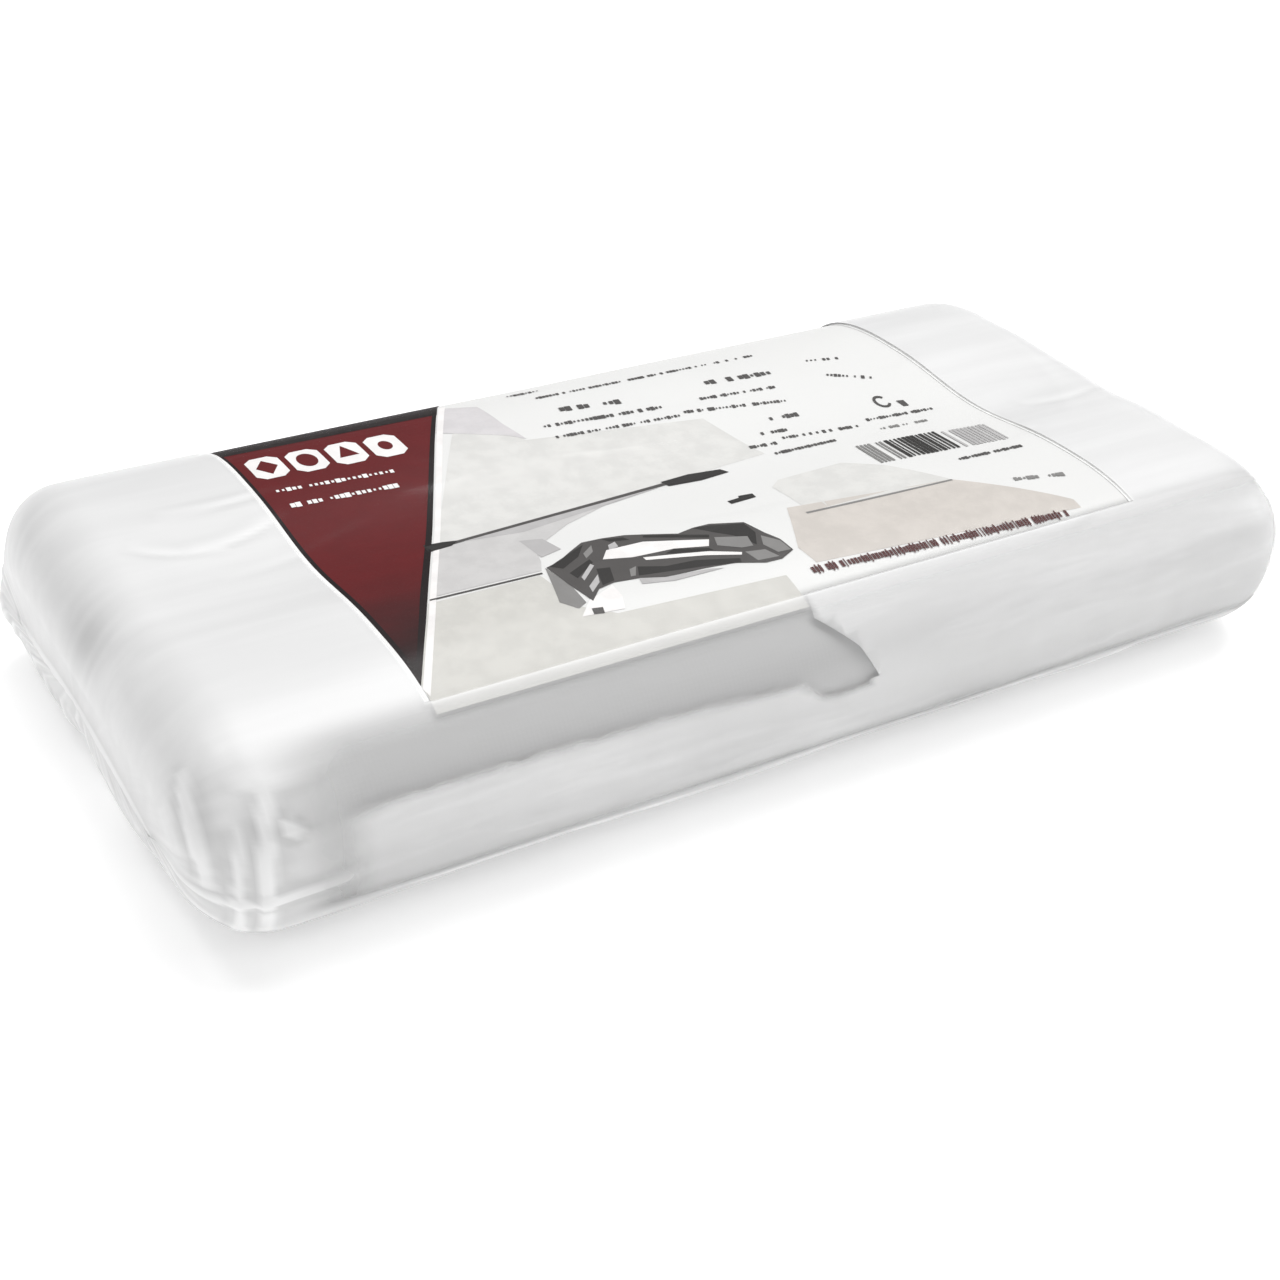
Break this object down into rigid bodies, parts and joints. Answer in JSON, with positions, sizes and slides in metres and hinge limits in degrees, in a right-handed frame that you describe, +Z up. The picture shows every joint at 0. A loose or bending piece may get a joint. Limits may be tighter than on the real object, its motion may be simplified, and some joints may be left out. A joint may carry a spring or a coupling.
{
  "type": "vacuum sealer film roll twin pack",
  "caption": "Two oval coreless rolls of embossed vacuum-sealer film side by side under a printed card, shrink-wrapped in clear film.",
  "frame": {"origin": "on the surface that the pack lies on, under the middle of the pack", "axes": "+X along the rolls, +Y from the front roll to the rear roll, +Z up out of the printed card"},
  "size_m": [0.2234, 0.1154, 0.0375],
  "materials": {
    "clear_shrink_film": "thin clear polyolefin shrink film, glossy, finely wrinkled",
    "milky_embossed_film": "milky two-ply film with a fine embossed grid, satin",
    "printed_paper": "coated paper card, printed",
    "clear_tape": "clear adhesive tape"
  },
  "bodies": {
    "root": {"shrink_overwrap": "clear_shrink_film", "label_card": "printed_paper", "front_film_roll": "milky_embossed_film", "rear_film_roll": "milky_embossed_film", "front_roll_tail_tape": "clear_tape", "rear_roll_tail_tape": "clear_tape"}
  },
  "joints": []
}
